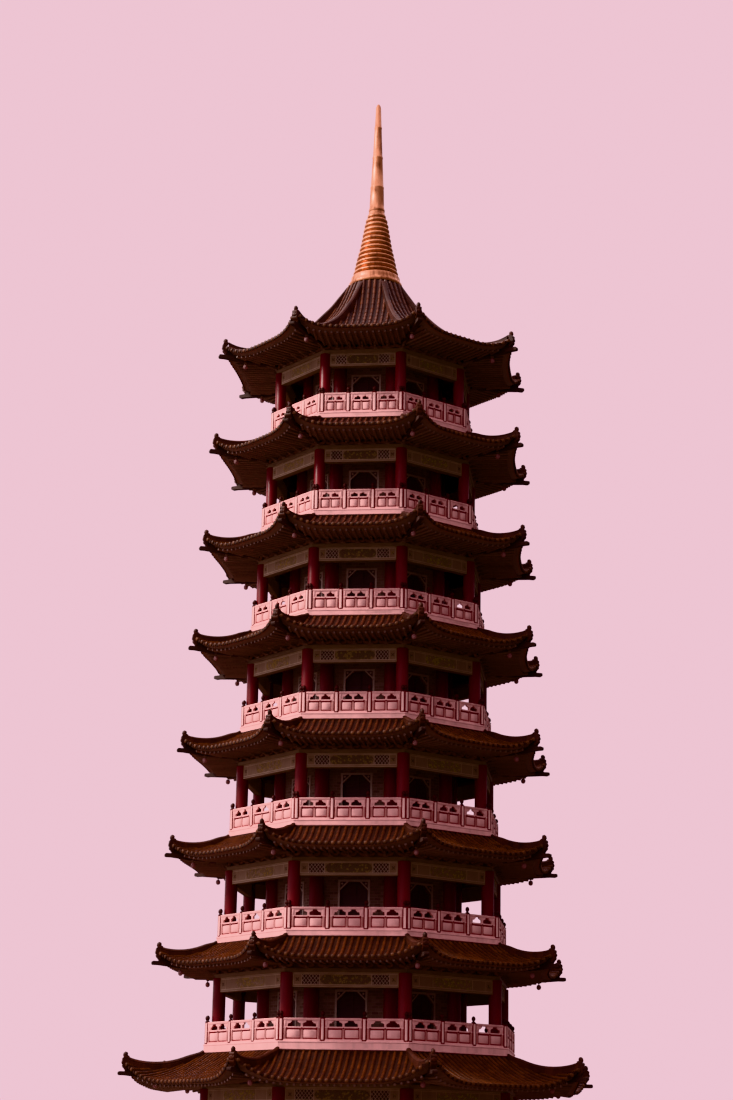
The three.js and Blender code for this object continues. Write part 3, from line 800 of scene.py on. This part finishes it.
def build_cores():
    """Masonry core walls with engaged red columns, plastered door frames and slatted leaves."""
    for number in ALL_STOREYS:
        storey = Storey(number)
        z, n, top = storey.floor, storey.core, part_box(f"core_wall_{number}")[1].z
        head = storey.base + DOOR_HEAD
        cut = head - DOOR_CHAMFER
        jamb = [(DOOR_HALF, z), (DOOR_HALF, cut), (DOOR_HALF - DOOR_CHAMFER, head)]
        core = Sketch(300 + number, "masonry", "lacquer", "frame", "leaf")
        core.add(loft([[(x, -level, h) for x, h in rectangle(-level * TAN, level * TAN, z, top) + both(jamb)]
                       for level in (n - CORE_WALL, n)]), "masonry")
        r = storey.column + CORE_COLUMN_EXTRA / 2
        shaft = [(r + 0.025, z), (r + 0.025, z + 0.03), (r, z + 0.06), (r, top)]
        core.add(turned(shaft, 24, n / FLAT), "lacquer", CORNERS)
        trim_frame(core, jamb, n)
        core.add(bar(moved(both(jamb), 0, -0.004, 0.999), n - 0.11, n - 0.07), "leaf")
        for side in (-1, 1):
            a, b = sorted((side * 0.012, side * (DOOR_HALF - 0.02)))
            for row in range(int((cut - z - 0.1) / SLAT_PITCH)):
                h = z + 0.07 + row * SLAT_PITCH
                core.add(block((a, b), (n - 0.075, n - 0.058), (h, h + 0.028)), "leaf")
            core.add(block((a, a + 0.03), (n - 0.075, n - 0.05), (z + 0.01, head - 0.02)), "leaf")
        core.add(mitred(moved(SKIRTING, n, z)), "frame")
        core.build(f"dressed_core_{number}", "core_masonry", f"core_wall_{number}")


def trim_frame(core, jamb, n):
    """A square frame round a doorway, with a dark carved panel and its flower in each cut-off corner."""
    (_, z), (_, cut), (chamfer, head) = jamb
    out, top = DOOR_HALF + 0.045, head + 0.045
    core.add(bar(both([(out, z), *jamb]) + [(-out, top), (out, top)], n - 0.02, n + 0.016), "frame")
    near, high = DOOR_HALF - 0.004, head - 0.004
    panel = [(near, cut + 0.049), (near, high), (chamfer + 0.049, high)]
    for side in (-1, 1):
        core.add(bar(moved(panel, width=side), n, n + 0.019), "leaf")
        flower = moved(FLOWER, side * (DOOR_HALF - 0.045), head - 0.045)
        core.add(bar(flower, n + 0.01, n + 0.024), "frame")


# Roofs: lines and outlines are outward, most of them from the eave's corner, and up from the storey's slab

DRIP = both(((-1, 0.012), (-1, -0.016), (-0.55, -0.04)), (0, -0.056))
ROOT_TILE = ((-0.06, -0.13), (-0.06, -0.007), (0.016, -0.007), (0.02, -0.022), (0.008, -0.04), (0.008, -0.13))
RIDGE_SAG = 0.36
RIDGE_LINE = ((0.0, 2.452), (0.02, 2.444), (0.045, 2.42), (0.1, 2.398), (0.188, 2.364), (0.313, 2.299),
              (0.466, 2.246), (0.632, 2.223), (0.786, 2.231), (0.87, 2.25), (0.945, 2.285))
TOP_RIDGE_LINE = ((0.74, 4.06), (0.83, 3.928), (0.975, 3.725), (1.12, 3.52), (1.315, 3.3), (1.53, 3.06),
                  (1.79, 2.813), (2.044, 2.621), (2.314, 2.457), (2.582, 2.331), (2.849, 2.235), (3.05, 2.2),
                  (3.246, 2.19), (3.508, 2.235), (3.63, 2.285))
RIDGE_SECTION = both(((-0.064, 0.0), (-0.064, 0.62), (-0.05, 0.64), (-0.05, 0.76), (-0.058, 0.78),
                      (-0.044, 0.9), (-0.022, 0.98)), (0.0, 1.0))
CURL = ((-0.13, 2.225), (-0.09, 2.245), (-0.062, 2.268), (-0.045, 2.295), (-0.05, 2.322), (-0.066, 2.336),
        (-0.085, 2.332), (-0.094, 2.316), (-0.088, 2.304))
CURL_RADII = (0.056, 0.054, 0.046, 0.04, 0.037, 0.034, 0.031, 0.028, 0.02)
KNOB = ((0.02, 2.262), (0.038, 2.27), (0.048, 2.29), (0.05, 2.31), (0.044, 2.332), (0.028, 2.35), (0.01, 2.356))
END_PLATE = ((-0.1, 2.26), (-0.03, 2.25), (-0.005, 2.235), (0.005, 2.205), (-0.008, 2.175), (0.002, 2.165),
             (0.016, 2.135), (0.006, 2.105), (-0.008, 2.095), (0.0, 2.065), (-0.012, 2.03), (-0.035, 2.015),
             (-0.06, 1.975), (-0.1, 1.98))
BOSS = ((0.046, 0.0), (0.046, 0.012), (0.034, 0.02), (0.012, 0.02))


def rib_places(roof, pitch):
    """Places of the tile ribs across one side, and their exact pitch."""
    width = 2 * roof.half(1.0) * roof.flare(1.0)
    count = round(width / pitch)
    return (np.arange(count) - (count - 1) / 2) * (width / count), width / count


def lay_row(tiles, roof, x, joints, section, finish, sink, swell, shrink):
    """A row of overlapping tiles up the slope: each is wider at its lower end, which covers the next."""
    end = roof.hip(x)
    stops = np.append(joints[joints > end + 0.012], end)
    if len(stops) < 2:
        return
    s, step = np.repeat(stops, 2)[1:-1], 0.004
    side = unit(roof.surface(x + step, s, sink) - roof.surface(x - step, s, sink))
    up = np.cross(side, unit(roof.surface(x, s - step, sink) - roof.surface(x, s + step, sink)))
    grow = np.tile([swell, shrink], len(stops) - 1)[:, None, None]
    across, height = np.array(section, float).T[:, None, :, None]
    rings = roof.surface(x, s, sink)[:, None] + side[:, None] * (across * grow) + up[:, None] * (height * grow)
    tiles.add(loft(rings), finish, bands=np.repeat(np.arange(1, len(s)) // 2, len(section)))


def end_disc(tiles, centre, radius):
    """The round end tile that closes a rib at the eave."""
    x, y, z = centre
    angles = (np.arange(8) + 0.5) * math.tau / 8
    tiles.add(loft([[(x + r * math.cos(a), y - out, z - 0.004 + r * math.sin(a)) for a in angles]
                    for r, out in ((radius, -0.03), (radius, 0.012), (radius * 0.72, 0.02))]), "cap")


def build_roofs(sizes):
    """Barrel and pan tiles laid up each slope, with end discs and drip tiles along the eave."""
    radius = sizes.rib_diameter / 2
    angles = np.radians(np.linspace(-20, 200, 6))
    barrel = np.stack([radius * np.cos(angles), radius * np.sin(angles)], -1)
    sink, low = radius + 0.002, radius - 0.002
    for number in ALL_STOREYS:
        roof = Roof(number)
        places, pitch = rib_places(roof, sizes.rib_pitch)
        joints = roof.courses(sizes.tile_length)
        lip = pitch / 2 - 0.021
        pan = [(-lip, 0.004), (0.0, -0.012), (lip, 0.004), (0.0, -0.04)]
        tiles = Sketch(400 + number, "tile", "pan", "cap", "ridge", "timber", "board")
        for x in places:
            lay_row(tiles, roof, x, joints, barrel, "tile", sink, 1.09, 0.93)
            end_disc(tiles, roof.surface(x, 1.0, sink), radius * 1.22)
            if x < places[-1]:
                # Pans and drip tiles take the pan finish, whose dark colour holds painted shade for the channels
                # between the ribs.
                lay_row(tiles, roof, x + pitch / 2, joints, pan, "pan", low, 1.06, 0.97)
                gap, y, z = roof.surface(x + pitch / 2, 1.0, low)
                tiles.add(bar(moved(DRIP, gap, z, pitch / 2 - 0.03), -y - 0.01, -y + 0.008), "pan")
        build_deck(tiles, roof)
        build_ridges(tiles, roof)
        node = "top_roof" if roof.crowned else f"roof_{number}"
        tiles.build(f"tiled_roof_{number}", "roof_tile", node, crease=50)


def build_deck(tiles, roof):
    """Boards under the tiles: the deck, the eave board and the soffit, bent up at the corners."""
    across = np.array([-1.0, *np.linspace(-0.965, 0.965, 15), 1.0])
    rows = []
    if not roof.crowned:
        ends = (across * roof.wall * TAN, -roof.wall, roof.base + ROOF_TOP - DECK_SINK)
        rows.append(np.stack(np.broadcast_arrays(*ends), -1))
    for s in (0.0, 0.06, 0.16, 0.3, 0.5, 0.7, 0.85, 0.95):
        wide = 1.0 if roof.crowned else roof.flare(s)
        rows.append(roof.surface(across * roof.half(s, 0.0) * wide, s, DECK_SINK))
    covered = len(rows)
    for sink, back in ((DECK_SINK, 0.03), (0.088, 0.03), (0.094, 0.08)):
        row = roof.surface(across * roof.half(1.0, 0.0) * roof.flare(1.0), 0.999, sink)
        row[:, 1] += back
        row[:, 0] *= row[:, 1] / (row[:, 1] - back)
        rows.append(row)
    out = (roof.eave - SOFFIT_SETBACK) * roof.flare(1.0)
    for f, n in ((1.0, out), (0.5, (roof.wall + out) / 2), (0.0, roof.wall)):
        rows.append(roof.soffit(across * n * TAN, f))
    if roof.crowned:
        rows.append(rows[-1] + (0, 0, 0.1))
        rows += [roof.surface(across * roof.half(s, 0.0) * 0.98, s, 0.2) for s in (0.5, 0.25, 0.1)]
    grid = np.array(rows)
    m, k = grid.shape[:2]
    index = np.arange(m * k).reshape(m, k)
    below = np.roll(index, -1, axis=0)
    quads = np.stack([index[:, :-1], index[:, 1:], below[:, 1:], below[:, :-1]], -1).reshape(-1, 4)
    row = np.repeat(np.arange(m), k - 1)
    paint = np.where(row < covered, "pan", np.where(row < covered + 2, "board", "timber"))
    tiles.add((grid.reshape(-1, 3), [quads, index[:, :1].T, index[::-1, -1:].T]), [paint, "timber", "timber"])
    if not roof.crowned:
        tiles.add(mitred(moved(ROOT_TILE, roof.inner, roof.base + STOREY_HEIGHT)), "ridge")


def ridge_path(roof):
    """Stations along the hip ridge: distance from the axis, and heights of its top and foot."""
    if roof.crowned:
        r = np.linspace(TOP_RIDGE_LINE[0][0], TOP_RIDGE_LINE[-1][0], 34)
        top = smooth(r, TOP_RIDGE_LINE)
    else:
        root = roof.inner / FLAT
        t = np.array([0.006, 0.02, 0.045, 0.075, *np.linspace(0.12, 0.945, 18)])
        r = root + t * (roof.corner - root)
        top = smooth(t, RIDGE_LINE) - RIDGE_SAG * (roof.drop - EAVE_DROP) * 4 * t * (1 - t)
    radius, height = roof.hip_line(np.linspace(0, 1, 200))
    return r, roof.base + top, np.interp(r, radius, height) - 0.07


def build_ridges(tiles, roof):
    """Hip ridges of stacked tiles, each ending in a curled finial above the corner beam."""
    r, top, foot = ridge_path(roof)
    rings = [[(x, -n, low + h * tall) for x, h in RIDGE_SECTION] for n, low, tall in zip(r, foot, top - foot)]
    bands = np.repeat(np.arange(len(r) - 1) // 2, len(RIDGE_SECTION))
    tiles.add(loft(rings), "ridge", CORNERS, bands)
    c, b = roof.corner, roof.base
    tiles.add(tube([(0.0, -n, z) for n, z in moved(CURL, c, b)], CURL_RADII, 10), "ridge", CORNERS)
    tiles.add(turned(moved(KNOB, 0, b), 12, c - 0.066), "ridge", CORNERS)
    tiles.add(bar(moved(END_PLATE, c, b), -0.06, 0.06, "x"), "ridge", CORNERS)
    points, faces = turned(BOSS, 12)
    tiles.add((points[:, [0, 2, 1]] * (1, -1, 1) + (0, 0.004 - c, b + 2.14), faces), "ridge", CORNERS)


# Eaves: the corner beam, its wedge and its cap outward from the eave's corner, the lamp down from its top

BRACKET_ARM = both(((-0.17, 0.06), (-0.15, 0.035), (-0.1, 0.02))) + [(0.17, 0.075), (-0.17, 0.075)]
BEAM_TIP = ((-0.5, 1.815), (-0.274, 1.838), (-0.05, 1.86), (0.06, 1.86), (0.084, 1.87), (0.09, 1.9),
            (0.084, 1.935), (0.06, 1.945), (-0.05, 1.945), (-0.3, 1.94), (-0.6, 1.93))
WEDGE = ((-0.75, 1.92), (-0.06, 1.935), (-0.064, 1.974), (-0.05, 2.0), (-0.03, 2.05), (-0.02, 2.11),
         (-0.12, 2.1), (-0.4, 2.0))
CAP = ((0.083, 1.88), (0.094, 1.888), (0.094, 1.917), (0.083, 1.925))
LAMP = ((0.018, -0.006), (0.034, -0.01), (0.05, -0.035), (0.055, -0.062), (0.05, -0.09), (0.034, -0.112),
        (0.01, -0.122))


def build_eaves(sizes):
    """Round rafters, brackets, corner beams and hanging lamps under each eave."""
    for number in ALL_STOREYS:
        roof = Roof(number)
        eaves = Sketch(500 + number, "timber", "end", "board", "corner", "lamp")
        for x in rib_places(roof, sizes.rib_pitch)[0]:
            first = (abs(x) + 0.07) / TAN
            outer = -float(roof.soffit(x, 1.0)[1]) + 0.02
            if first <= outer - 0.12:
                inner = max(0.0, (first - roof.wall) / (outer - roof.wall))
                path = roof.soffit(x, np.linspace(inner, 1.0, 4), 0.024)
                path[-1, 1] -= 0.03
                eaves.add(tube(path, [RAFTER_RADIUS] * 4, 8), ["timber", "timber", "end"])
        ring, z = Storey(number).ring, roof.base + PLANK_TOP
        for j in range(BRACKETS):
            bracket_set(eaves, ring * TAN * (2 * (j + 1) / (BRACKETS + 1) - 1), ring, z, ALL_SIDES)
        bracket_set(eaves, 0.0, ring / FLAT, z, CORNERS)
        build_corner(eaves, roof)
        eaves.build(f"eave_timber_{number}", "roof_tile")


def bracket_set(eaves, x, n, z, turns):
    """One set: a bearing block, a cross arm, and two arms that step outward with small blocks."""
    eaves.add(block(about(x, 0.06), (n - 0.02, n + 0.14), (z - 0.002, z + 0.035), 0.006), "timber", turns)
    eaves.add(bar(moved(BRACKET_ARM, x, z), n + 0.06, n + 0.1), "board", turns)
    for reach, height in ((0.24, 0.03), (0.36, 0.07)):
        nose = ((0, 0), (0, 0.035), (reach, 0.035), (reach + 0.02, 0.02), (reach - 0.03, 0))
        eaves.add(bar(moved(nose, n, z + height), *about(x, 0.022), "x"), "timber", turns)
    for shift in (-0.15, 0.0, 0.15):
        eaves.add(block(about(x + shift, 0.026), (n + 0.052, n + 0.108), (z + 0.074, z + 0.1)), "timber", turns)


def build_corner(eaves, roof):
    """The corner beam with its carved tip, the wedge over it, and a lamp that hangs below."""
    c, b, wall = roof.corner, roof.base, roof.wall / FLAT
    beam = moved(((-0.05, 1.78), (0.3, 1.79)), wall, b) + moved(BEAM_TIP, c, b) + [(wall - 0.05, b + 1.92)]
    for outline, half in ((beam, 0.055), (moved(WEDGE, c, b), 0.045), (moved(CAP, c, b), 0.04)):
        eaves.add(bar(outline, -half, half, "x"), "corner", CORNERS)
    n, top = wall + 0.59 * (c - wall), b + 1.77 - roof.drop / 4
    rod = [(0.012, top - 0.012), (0.012, b + 1.785), (0.034, b + 1.79), (0.034, b + 1.82)]
    eaves.add(turned(rod, 12, n), "timber", CORNERS)
    eaves.add(turned(moved(LAMP, 0, top), 16, n), "lamp", CORNERS)


# Spire: radii and heights above the underside of the top storey's slab

SPIRE_FOOT = ((0.64, CROWN_TOP), (0.655, 4.166), (0.655, 4.206), (0.62, 4.236), (0.6, 4.3), (0.6, 4.36),
              (0.575, 4.4), (0.53, 4.42))
CONE_EDGE = ((4.44, 0.57), (4.575, 0.538), (4.84, 0.483), (5.215, 0.397), (5.643, 0.323), (5.95, 0.262),
             (6.155, 0.187))
CONE_RINGS = 13
RING_SHAPE = ((0.02, 0.86), (0.12, 0.93), (0.25, 0.99), (0.45, 1.0), (0.62, 0.98), (0.76, 0.91), (0.86, 0.85))
MAST = ((0.187, 6.156), (0.2, 6.18), (0.2, 6.22), (0.182, 6.26), (0.178, 6.4), (0.166, 6.777), (0.17, 6.8),
        (0.172, 6.83), (0.158, 6.86), (0.125, 7.595), (0.132, 7.62), (0.132, 7.65), (0.118, 7.68), (0.088, 8.418),
        (0.095, 8.44), (0.095, 8.47), (0.083, 8.5), (0.062, 9.02), (0.045, 9.08), (0.02, SPIRE_TOP))


def build_spire():
    """The ringed cone and tapering mast over the top roof."""
    cone = list(SPIRE_FOOT)
    heights = np.linspace(4.44, 6.1, CONE_RINGS + 1)
    for low, high in zip(heights[:-1], heights[1:]):
        r = float(smooth((low + high) / 2, CONE_EDGE))
        cone += [(r * grow, low + share * (high - low)) for share, grow in RING_SHAPE]
    cone += [(0.2, 6.12), (0.19, 6.155)]
    base = Storey(STOREYS).base
    for seed, shape, segments, name, node, crease in (
            (600, cone, 48, "ringed_cone", "spire_cone", 60), (601, MAST, 32, "tapering_mast", "spire_rod", 50)):
        body = Sketch(seed, "gilt")
        body.add(turned(moved(shape, 0, base), segments), turns=(0,))
        body.build(name, "spire_metal", node, crease=crease)


# Plinth: mouldings outward from its side, up from the ground and from its top

PLINTH_FOOT = ((-0.02, 0), (-0.02, 0.16), (0.02, 0.16), (0.035, 0.13), (0.035, 0))
PLINTH_LIP = ((-0.3, -0.1), (-0.3, 0.012), (0.02, 0.012), (0.03, -0.002), (0.03, -0.05), (0.008, -0.07),
              (0.008, -0.1))


def build_plinth():
    """The plinth and its steps keep their solids; mouldings go round the plinth."""
    for node in ("plinth", "front_steps", "right_steps", "back_steps", "left_steps"):
        dress(node, "block")
    _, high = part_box("plinth")
    trim = Sketch(700, "block")
    trim.add(mitred(moved(PLINTH_FOOT, high.x)))
    trim.add(mitred(moved(PLINTH_LIP, high.x, high.z)))
    trim.build("plinth_mouldings", "plinth_stone")


# Stage


def build_stage():
    """A pale floor, soft light from the left and above, and the camera of the photograph."""
    build_paper()
    build_sky()
    data = bpy.data.lights.new("key", "AREA")
    data.size, data.energy, data.color = 12, 42000, linear("#fff0ea")[:3]
    lamp = bpy.data.objects.new("key", data)
    lamp.location = (-39.6, -19.6, 45.0)
    lamp.rotation_euler = (Vector((0, 0, 12)) - lamp.location).to_track_quat("-Z", "Y").to_euler()
    bpy.context.scene.collection.objects.link(lamp)
    bpy.context.scene.view_settings.view_transform = "Khronos PBR Neutral"
    place_camera()


def build_paper():
    """A round pale floor that throws back little light, as the ground under a tower does."""
    mesh = bpy.data.meshes.new("studio_floor")
    angles = np.arange(96) * math.tau / 96
    points = np.stack([15 * np.cos(angles), 15 * np.sin(angles), np.zeros(96)], -1)
    mesh.from_pydata(points.tolist(), [], [list(range(96))])
    floor = bpy.data.objects.new("studio_floor", mesh)
    bpy.context.scene.collection.objects.link(floor)
    made, tree, shader = start("matt_studio_paper", 0.95)
    fibre = add(tree, "TexNoise", {"Vector": add(tree, "TexCoord")["Object"], "Scale": 2.0, "Detail": 6.0})[0]
    mottle = add(tree, "MapRange", {"Value": fibre, "To Max": 0.2})[0]
    paper = add(tree, "Mix", {FACTOR: mottle, A: "#d9cccc", B: "#c9bcbc"}, data_type="RGBA")[MIXED]
    tree.links.new(paper, shader.inputs["Base Color"])
    shade = add(tree, "BsdfDiffuse", {"Color": "#544a47"})[0]
    seen = add(tree, "LightPath")["Is Camera Ray"]
    shown = add(tree, "MixShader", (seen, shade, shader.outputs[0]))[0]
    tree.links.new(shown, tree.nodes["Material Output"].inputs["Surface"])
    mesh.materials.append(made)


def build_sky():
    """Soft daylight, brighter from the left, from above and from behind, before an even backdrop."""
    world = bpy.data.worlds.new("studio")
    bpy.context.scene.world = world
    world.use_nodes = True
    sky = world.node_tree
    sky.nodes.clear()
    across, depth, height = add(sky, "SeparateXYZ", [add(sky, "TexCoord")["Generated"]])
    # Each direction's share, the range that it comes from and the range that it goes to
    left, dim, top, back, rise = (add(sky, "MapRange", values)[0] for values in (
        (across, -0.9, 0.5, 2.2, 0.15), (across, -0.9, 0.5, 1.4, 0.5), (height, 0.3, 0.8, 0.0, 2.0),
        (depth, 0.3, 1.0, 0.0, 0.8), (height, -0.2, 0.2, 0.0, 1.0)))
    bright = add(sky, "Math", (add(sky, "Math", (left, top), operation="ADD")[0], back), operation="ADD")[0]
    above = add(sky, "Background", {"Color": "#dcc0c6", "Strength": bright})[0]
    below = add(sky, "Background", {"Color": "#8a7876", "Strength": dim})[0]
    seen = add(sky, "Background", {"Color": "#f0c8d6", "Strength": 1.1})[0]
    light = add(sky, "MixShader", (rise, below, above))[0]
    ray = add(sky, "LightPath")["Is Camera Ray"]
    add(sky, "OutputWorld", [add(sky, "MixShader", (ray, light, seen))[0]])


def place_camera():
    """The camera's place, height and slight tilt, found from the corners of the galleries."""
    distance, eye = 51.5346, 0.7983
    around, pitch, roll, yaw = (math.radians(v) for v in (6.987, 15.402, 1.031, -0.118))
    data = bpy.data.cameras.new("camera")
    data.sensor_width = 36.0
    data.lens = 36.0 * 2236.7 / 1100
    data.clip_end = 400
    camera = bpy.data.objects.new("camera", data)
    bpy.context.scene.collection.objects.link(camera)
    camera.location = (distance * math.sin(around), -distance * math.cos(around), eye)
    a = around - yaw
    ahead = Vector((-math.sin(a) * math.cos(pitch), math.cos(a) * math.cos(pitch), math.sin(pitch)))
    right = ahead.cross(Vector((0, 0, 1))).normalized()
    up = right.cross(ahead)
    right, up = (right * math.cos(roll) + up * math.sin(roll), up * math.cos(roll) - right * math.sin(roll))
    camera.rotation_euler = Matrix((right, up, -ahead)).transposed().to_euler()
    bpy.context.scene.camera = camera


# Add-on


class PagodaSizes(bpy.types.PropertyGroup):
    """Sizes of the roof tiles."""

    rib_pitch: bpy.props.FloatProperty(
        name="Rib pitch", description="Distance between tile ribs", default=0.139, unit="LENGTH")
    rib_diameter: bpy.props.FloatProperty(
        name="Rib diameter", description="Diameter of a barrel tile", default=0.068, unit="LENGTH")
    tile_length: bpy.props.FloatProperty(
        name="Tile length", description="Shown length of one tile", default=0.2, unit="LENGTH")


def colour(name, description, code):
    """A colour setting that starts from an sRGB hex value."""
    return bpy.props.FloatVectorProperty(
        name=name, description=description, subtype="COLOR", size=3, min=0.0, max=1.0, default=linear(code)[:3])


class PagodaColours(bpy.types.PropertyGroup):
    """Main colours of the tower."""

    tile: colour("Tile", "Lightest glazed tile", "#542a0d")
    stone: colour("Stone", "Limewashed balustrades and floor edges", "#f0bab8")
    lacquer: colour("Columns", "Red of the columns", "#691218")
    masonry: colour("Masonry", "Core wall courses", "#968a82")
    spire: colour("Spire", "Gilt bronze of the spire", "#c58d6c")


class PAGODA_OT_finishes(bpy.types.Operator):
    """Make the tower's finishes"""

    bl_idname = "pagoda.finishes"
    bl_label = "Make finishes"

    def execute(self, context):
        make_finishes(context.scene.pagoda_colours)
        return {"FINISHED"}


class PAGODA_OT_plinth(bpy.types.Operator):
    """Dress the plinth and its steps"""

    bl_idname = "pagoda.plinth"
    bl_label = "Plinth and steps"

    def execute(self, context):
        build_plinth()
        return {"FINISHED"}


class PAGODA_OT_floors(bpy.types.Operator):
    """Dress the gallery floors"""

    bl_idname = "pagoda.floors"
    bl_label = "Gallery floors"

    def execute(self, context):
        build_floors()
        return {"FINISHED"}


class PAGODA_OT_balustrades(bpy.types.Operator):
    """Carve the balustrades"""

    bl_idname = "pagoda.balustrades"
    bl_label = "Balustrades"

    def execute(self, context):
        build_balustrades()
        return {"FINISHED"}


class PAGODA_OT_cores(bpy.types.Operator):
    """Build the core walls and doorways"""

    bl_idname = "pagoda.cores"
    bl_label = "Core walls"

    def execute(self, context):
        build_cores()
        return {"FINISHED"}


class PAGODA_OT_columns(bpy.types.Operator):
    """Build the columns and painted beams"""

    bl_idname = "pagoda.columns"
    bl_label = "Columns and beams"

    def execute(self, context):
        build_columns()
        return {"FINISHED"}


class PAGODA_OT_eaves(bpy.types.Operator):
    """Build the rafters, brackets and corner beams"""

    bl_idname = "pagoda.eaves"
    bl_label = "Eaves"

    def execute(self, context):
        build_eaves(context.scene.pagoda_sizes)
        return {"FINISHED"}


class PAGODA_OT_roofs(bpy.types.Operator):
    """Tile the roofs and lay their ridges"""

    bl_idname = "pagoda.roofs"
    bl_label = "Roofs"

    def execute(self, context):
        build_roofs(context.scene.pagoda_sizes)
        return {"FINISHED"}


class PAGODA_OT_spire(bpy.types.Operator):
    """Build the ringed cone and the mast"""

    bl_idname = "pagoda.spire"
    bl_label = "Spire"

    def execute(self, context):
        build_spire()
        return {"FINISHED"}


class PAGODA_OT_stage(bpy.types.Operator):
    """Set the floor, the lights and the camera"""

    bl_idname = "pagoda.stage"
    bl_label = "Stage"

    def execute(self, context):
        build_stage()
        return {"FINISHED"}


OPERATORS = (PAGODA_OT_stage, PAGODA_OT_finishes, PAGODA_OT_plinth, PAGODA_OT_floors, PAGODA_OT_balustrades,
             PAGODA_OT_cores, PAGODA_OT_columns, PAGODA_OT_eaves, PAGODA_OT_roofs, PAGODA_OT_spire)


class PAGODA_PT_tower(bpy.types.Panel):
    """Sizes, colours and building steps of the pagoda"""

    bl_label = "Pagoda"
    bl_space_type = "VIEW_3D"
    bl_region_type = "UI"
    bl_category = "Pagoda"

    def draw(self, context):
        for group in (context.scene.pagoda_sizes, context.scene.pagoda_colours):
            for name in group.bl_rna.properties.keys():
                if name not in ("rna_type", "name"):
                    self.layout.prop(group, name)
        for operator in OPERATORS:
            self.layout.operator(operator.bl_idname)


CLASSES = (PagodaSizes, PagodaColours) + OPERATORS + (PAGODA_PT_tower,)


def register():
    for item in CLASSES:
        bpy.utils.register_class(item)
    bpy.types.Scene.pagoda_sizes = bpy.props.PointerProperty(type=PagodaSizes)
    bpy.types.Scene.pagoda_colours = bpy.props.PointerProperty(type=PagodaColours)


def unregister():
    del bpy.types.Scene.pagoda_colours
    del bpy.types.Scene.pagoda_sizes
    for item in reversed(CLASSES):
        bpy.utils.unregister_class(item)


def main():
    register()
    for step in (bpy.ops.pagoda.stage, bpy.ops.pagoda.finishes, bpy.ops.pagoda.plinth, bpy.ops.pagoda.floors,
                 bpy.ops.pagoda.balustrades, bpy.ops.pagoda.cores, bpy.ops.pagoda.columns, bpy.ops.pagoda.eaves,
                 bpy.ops.pagoda.roofs, bpy.ops.pagoda.spire):
        step()


if __name__ == "__main__":
    main()
